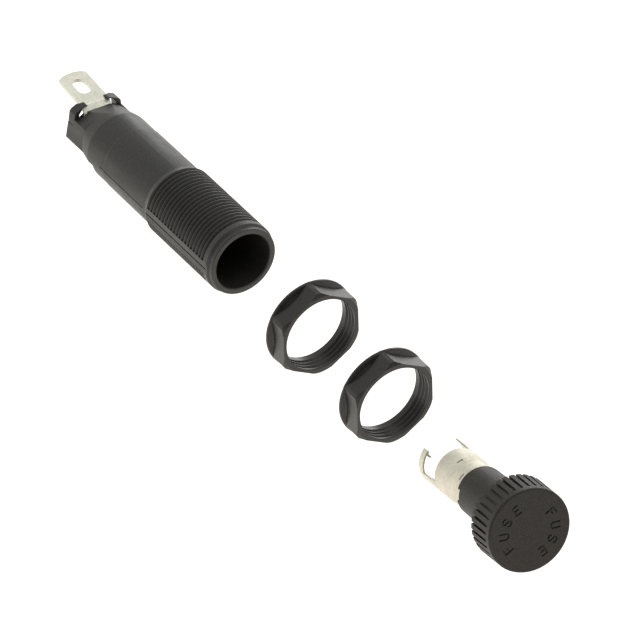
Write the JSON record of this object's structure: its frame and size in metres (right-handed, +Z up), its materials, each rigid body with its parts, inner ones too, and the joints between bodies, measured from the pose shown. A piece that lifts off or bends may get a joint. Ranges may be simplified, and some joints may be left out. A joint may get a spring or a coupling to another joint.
{
  "type": "cartridge fuse holder",
  "caption": "Panel-mount holder for a cartridge fuse: threaded moulded barrel with quick-connect tabs, flanged nuts and a fluted push-and-turn cap with a metal fuse clip.",
  "frame": {"origin": "centre of the barrel's front rim, on its axis", "axes": "+X along the barrel's axis out of its mouth towards the cap, +Z up, flats of the thread at +Y and -Y"},
  "size_m": [0.1757, 0.023, 0.0244],
  "materials": {
    "black_thermoplastic": "fine moulded satin",
    "knob_thermoplastic": "fine moulded satin",
    "nut_thermoplastic": "moulded semi-gloss",
    "tinned_brass": "satin tin plate",
    "clip_metal": "satin tin plate",
    "contact_brass": "turned",
    "spring_steel": "drawn wire"
  },
  "bodies": {
    "barrel": {"barrel": "black_thermoplastic", "end_terminal": "tinned_brass", "side_terminal": "tinned_brass", "button_spring": "spring_steel"},
    "contact_button": {"contact_button": "contact_brass"},
    "rear_nut": {"rear_nut": "nut_thermoplastic"},
    "front_nut": {"front_nut": "nut_thermoplastic"},
    "contact_disc": {"contact_disc": "contact_brass"},
    "cap_spring": {"cap_spring": "spring_steel"},
    "cap": {"knob": "knob_thermoplastic", "fuse_clip": "clip_metal"}
  },
  "joints": [
    {"name": "cap_insert", "type": "slide", "parent": "barrel", "child": "contact_disc", "axis": [-0.9987, 0.0357, -0.0367], "range_m": [0, 0.10083]},
    {"name": "cap_level", "type": "hinge", "parent": "contact_disc", "child": "cap_spring", "pos_m": [0.0943, -0.0036, 0.0037], "axis": [0, 0.8944, 0.4472], "range_deg": [0, 13.74]},
    {"name": "cap_turn", "type": "hinge", "parent": "cap_spring", "child": "cap", "pos_m": [0.0943, -0.0036, 0.0037], "axis": [0.9715, -0.1061, 0.2121], "range_deg": [-90, 0]},
    {"name": "front_nut_travel", "type": "slide", "parent": "barrel", "child": "front_nut", "axis": [-1, 0, 0], "range_m": [0, 0.0566]},
    {"name": "rear_nut_travel", "type": "slide", "parent": "barrel", "child": "rear_nut", "axis": [-1, 0, 0], "range_m": [0, 0.0387]},
    {"name": "button_travel", "type": "slide", "parent": "barrel", "child": "contact_button", "axis": [-1, 0, 0], "range_m": [0, 0.0018], "stiffness_N_per_m": 2500, "deforming": ["button_spring"]}
  ],
  "couplings": [
    {"joint": "cap_level", "follows": "cap_insert", "rad_per_m": 2.3744},
    {"joint": "front_nut_travel", "follows": "cap_insert", "ratio": 0.56133},
    {"joint": "rear_nut_travel", "follows": "cap_insert", "ratio": 0.38381}
  ]
}
